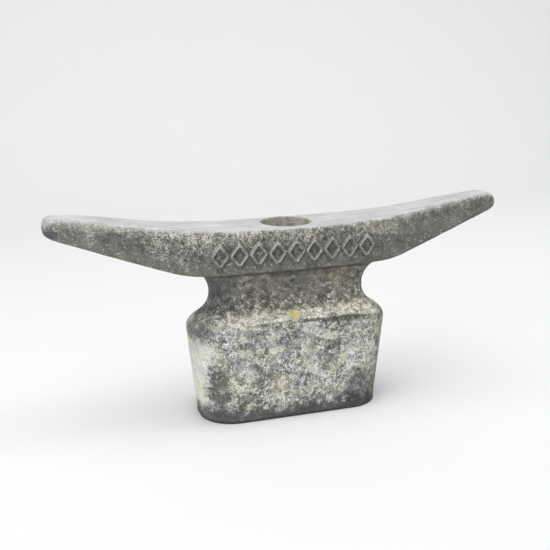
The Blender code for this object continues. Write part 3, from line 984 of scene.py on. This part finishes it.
def weathered_skin(groups):
    """Oxidised aluminium: pebbled grey bar, scuffed pale top, brown-grey neck, white crusted base."""
    made, shader = new_material("weathered_skin", 0.75, 0.0)
    tree = made.node_tree
    point, normal = object_terms(tree)
    x, y, z = parts_of(point)
    lean_x, _, up = parts_of(normal)
    edge, hollow, rise = attribute(tree, "edge"), attribute(tree, "hollow"), attribute(tree, "rise")
    crust, outer = attribute(tree, "crust"), attribute(tree, "outer")

    pebbles = group_at(groups["grain"], point, 0, Pebble=0.8, Cover=0.5)
    specks = group_at(groups["grain"], point, 1, Pebble=0.8, Cover=0.5)
    broad = group_at(groups["stains"], point, 0, Cover=0.5)
    fine = group_at(groups["stains"], point, 1, Cover=0.5)
    rubs = group_at(groups["scuffs"], point, 0)

    # zones up the casting
    bar = ramp(z, 125.5 * MM, 127.5 * MM)
    base = ramp(z + (fine - 0.5) * (5 * MM), 92 * MM, 85 * MM)
    front = ramp(y, 14 * MM, -14 * MM)  # the placed marks are on the front only
    top = ramp(up + (specks - 0.5) * 0.3 + (fine - 0.5) * 0.25, 0.3, 0.8) * ramp(z, 150 * MM, 158 * MM)
    ledge = ramp(up, 0.15, 0.6) * ramp(z, 80 * MM, 85 * MM) * ramp(z, 110 * MM, 97 * MM)

    colour = mixed(neck_tones(point, x, z, broad), bar_tones(point, x, z, rise, broad, fine), bar)
    colour = mixed(colour, base_tones(point, x, z, front), base)

    # ledge: cream deposit, thickest right of the middle, with painted shadow lines under its edge and under
    # the bar
    deposit = fine * 0.5 + crust * 0.25
    deposit = deposit + ramp(x, -66 * MM, -30 * MM, 0.0, 0.3) + ramp(x, 0 * MM, 40 * MM, 0.0, 0.2)
    deposit = deposit - ramp(x, 70 * MM, 84 * MM, 0.0, 0.7) - ramp(x, -62 * MM, -80 * MM, 0.0, 0.4)
    mottle = noise(moved(point, (0.1, 0.1, 0.9)), 4.5, 2, 0.9)
    cream = toned(
        fine * 0.25 + (mottle - 0.5) * 2.8 + (noise(point, 1.3, 1, 0.7) - 0.5) * 1.1 + 0.33,
        [(0.0, (0.13, 0.125, 0.1)), (0.35, (0.42, 0.405, 0.325)), (0.7, (0.7, 0.68, 0.56)),
         (1.0, (0.86, 0.85, 0.75))],
    )
    colour = mixed(colour, cream, ledge * ramp(deposit, 0.12, 0.65) * 0.92)
    # a painted shadow line on the front just under the ledge's edge, wider to the right
    drop = abs(z - 85.0 * MM + (mottle - 0.5) * (8 * MM))
    line_width = ramp(x, -14 * MM, 40 * MM, 1.2 * MM, 6.0 * MM)
    ledge_shadow_mask = ramp(drop, line_width, 0.0) * ramp(up, 0.75, 0.45) * front
    ledge_shadow_mask = ledge_shadow_mask * ramp(x, -14 * MM, 10 * MM) * ramp(x, 86 * MM, 72 * MM)
    ledge_shadow_line = ramp(ledge_shadow_mask + (fine - 0.5) * 0.5, 0.1, 0.85) * ramp(ledge_shadow_mask, 0.0, 0.2) * 0.85
    # a painted shadow line along the neck just under the bar's overhang
    bar_shadow_mask = ramp(abs(z - 126.2 * MM), 2.0 * MM, 0.5 * MM) * ramp(abs(x), 74 * MM, 68 * MM)
    bar_shadow_line = bar_shadow_mask * ramp(fine, 0.9, 0.2, 0.55, 0.9)
    colour = mixed(colour, (0.055, 0.053, 0.05), larger(ledge_shadow_line, bar_shadow_line))

    # top: bare metal rubbed pale by rope, and the left tip paler above and darker below
    top_tone = mixed((0.38, 0.385, 0.38), (0.7, 0.705, 0.695), rubs * 0.55 + broad * 0.2 + specks * 0.25)
    colour = mixed(colour, top_tone, top)
    tip_pale_mark = spot(x, z, (-200, 179), (9, 9)) + (mottle - 0.5) * 1.6
    tip_dark_mark = spot(x, z, (-194, 168), (11, 5.5)) + (specks - 0.5) * 0.4
    colour = mixed(colour, (0.52, 0.52, 0.505), ramp(tip_pale_mark, 0.3, 0.7) * 0.8)
    colour = mixed(colour, (0.085, 0.088, 0.095), ramp(tip_dark_mark, 0.3, 0.6) * 0.85)

    # edges rubbed, painted highlight and shade on the motif crests' flanks and beside them, painted shade in
    # hollows, yellow lichen, dull bolt way
    rub = ramp(edge, 0.12, 0.5) * (fine * 0.6 + 0.2)
    colour = mixed(colour, (0.56, 0.555, 0.53), rub * bar * 0.55)
    strokes, stroke_shade_lines = motif_marks(x, y, z, noise(point, 5, 2))
    upper_side = up * 0.8 - lean_x * 0.6
    # painted shade in a line each side of the strokes
    colour = mixed(colour, (0.06, 0.057, 0.05), stroke_shade_lines * ramp(fine, 0.0, 1.0, 0.6, 0.25))
    # painted shade on the strokes' down-facing flanks, and a painted highlight on their up- and left-facing
    # flanks
    colour = mixed(colour, (0.07, 0.067, 0.058), strokes * ramp(upper_side, -0.1, -0.5) * 0.7)
    colour = mixed(colour, (0.62, 0.61, 0.57), strokes * ramp(upper_side, 0.05, 0.5) * (fine * 0.5 + 0.35))
    # painted shade darkening the hollows, except on the ledge
    hollow_shade = ramp(hollow, 0.14, 0.6) * ramp(ledge, 0.6, 0.0)
    colour = mixed(colour, (0.05, 0.048, 0.04), hollow_shade * 0.7)
    lichen = lichen_mask(point, x, z, front) * ramp(mottle, 0.3, 0.6, 0.5, 0.9)
    colour = mixed(colour, (0.62, 0.55, 0.19), lichen)
    way = mixed((0.32, 0.31, 0.26), (0.72, 0.7, 0.61), fine * 0.5 + specks * 0.5)
    colour = mixed(way, colour, outer)
    feed(shader.inputs["Base Color"], colour)

    bare = top * rubs
    feed(shader.inputs["Metallic"], bare * 0.45 + rub * bar * 0.3)
    feed(shader.inputs["Roughness"], 0.78 - bare * 0.3 - bar * (1.0 - fine) * 0.12)
    relief = pebbles * ramp(up, 0.95, 0.5, 0.2, 1.0) + crust * base * 0.9 + specks * 0.5 + rubs * top * 0.15
    feed(shader.inputs["Normal"], bumped(relief, 0.45 * MM))
    return made


def stainless(groups):
    """Dull stainless steel with turning marks, brown tea staining and old grease."""
    made, shader = new_material("stainless_steel", 0.35, 1.0)
    tree = made.node_tree
    point, _ = object_terms(tree)
    x, y, z = parts_of(point)
    broad = group_at(groups["stains"], point, 0, Cover=0.5)
    fine = group_at(groups["stains"], point, 1, Cover=0.45)
    colour = mixed((0.36, 0.355, 0.34), (0.5, 0.495, 0.48), broad)
    colour = mixed(colour, (0.2, 0.14, 0.085), fine * ramp(broad, 0.0, 1.0, 0.3, 0.75))
    feed(shader.inputs["Base Color"], colour)
    turned = noise(vector_of(tree, hypotenuse(x, y), z * 0.3, 0.0), 0.5, 2)
    feed(shader.inputs["Roughness"], 0.36 + fine * 0.3 + turned * 0.12)
    feed(shader.inputs["Normal"], bumped(turned, 0.03 * MM))
    return made


def nylon(groups):
    """Natural nylon, yellowed and grimy."""
    made, shader = new_material("natural_nylon", 0.5, 0.0)
    tree = made.node_tree
    point, _ = object_terms(tree)
    fine = group_at(groups["stains"], point, 1, Cover=0.5)
    grain = group_at(groups["grain"], point, 0, Pebble=0.5, Cover=0.5)
    feed(shader.inputs["Base Color"], mixed((0.66, 0.62, 0.5), (0.42, 0.38, 0.27), fine * 0.7))
    feed(shader.inputs["Roughness"], 0.45 + fine * 0.2)
    feed(shader.inputs["Normal"], bumped(grain, 0.06 * MM))
    return made


# ---------------------------------------------------------------- room, light and camera


def floor_and_backdrop():
    """One pale sheet: a floor that sweeps up into a wall behind the cleat."""
    bm = bmesh.new()
    near, depth, bend, height, half_width = -8.0, 0.9, 0.5, 2.2, 5.0
    outline = [(near, 0.0), (depth, 0.0)]
    outline += [(depth + bend * sin(radians(a)), bend * (1 - cos(radians(a)))) for a in range(10, 91, 10)]
    outline.append((depth + bend, height))
    rows = [[bm.verts.new((x, y, z)) for x in (-half_width, half_width)] for y, z in outline]
    for front, back in zip(rows, rows[1:]):
        bm.faces.new((front[0], front[1], back[1], back[0]))
    mesh = bpy.data.meshes.new("floor")
    bm.to_mesh(mesh)
    bm.free()
    mesh.shade_smooth()
    floor = bpy.data.objects.new("floor", mesh)
    bpy.context.scene.collection.objects.link(floor)
    made, shader = new_material("pale_paper", 0.9, 0.0)
    shader.inputs["Base Color"].default_value = (0.722, 0.726, 0.72, 1)
    mesh.materials.append(made)


def soft_box(name, at, aim, size, power):
    light = bpy.data.lights.new(name, "AREA")
    light.shape = "SQUARE"
    light.size = size
    light.energy = power
    holder = bpy.data.objects.new(name, light)
    holder.location = at
    holder.rotation_euler = (Vector(aim) - Vector(at)).to_track_quat("-Z", "Y").to_euler()
    bpy.context.scene.collection.objects.link(holder)


def studio():
    world = bpy.data.worlds.new("studio")
    world.use_nodes = True
    bpy.context.scene.world = world
    sky = world.node_tree.nodes["Background"]
    sky.inputs["Color"].default_value = (0.97, 0.985, 1.0, 1)
    sky.inputs["Strength"].default_value = 0.65
    soft_box("top_light", (-0.3, -0.2, 1.5), (0, 0, 0.1), 1.4, 15)
    soft_box("left_light", (-1.3, -0.9, 0.8), (0, 0, 0.1), 1.0, 6)
    soft_box("wall_light", (1.1, -0.1, 1.6), (1.0, 1.2, 0.2), 1.0, 10.5)
    bpy.context.scene.view_settings.view_transform = "Standard"


def camera():
    azimuth, elevation = radians(CAMERA_AZIMUTH), radians(CAMERA_ELEVATION)
    back = Vector((sin(azimuth) * cos(elevation), -cos(azimuth) * cos(elevation), sin(elevation)))
    across = Vector((0, 0, 1)).cross(back).normalized()
    upright = Matrix((across, back.cross(across), back)).transposed()
    turn = upright @ Matrix.Rotation(radians(CAMERA_ROLL), 3, "Z")
    lens = bpy.data.cameras.new("camera")
    lens.sensor_width = 36
    lens.lens = CAMERA_LENS_MM
    holder = bpy.data.objects.new("camera", lens)
    holder.matrix_world = Matrix.Translation(CAMERA_TARGET + back * CAMERA_DISTANCE) @ turn.to_4x4()
    bpy.context.scene.collection.objects.link(holder)
    bpy.context.scene.camera = holder


camera()
studio()
floor_and_backdrop()
groups = {"grain": grain_group(), "stains": stain_group(), "scuffs": scuff_group()}
horn_casting(weathered_skin(groups))
fixings(stainless(groups), nylon(groups))
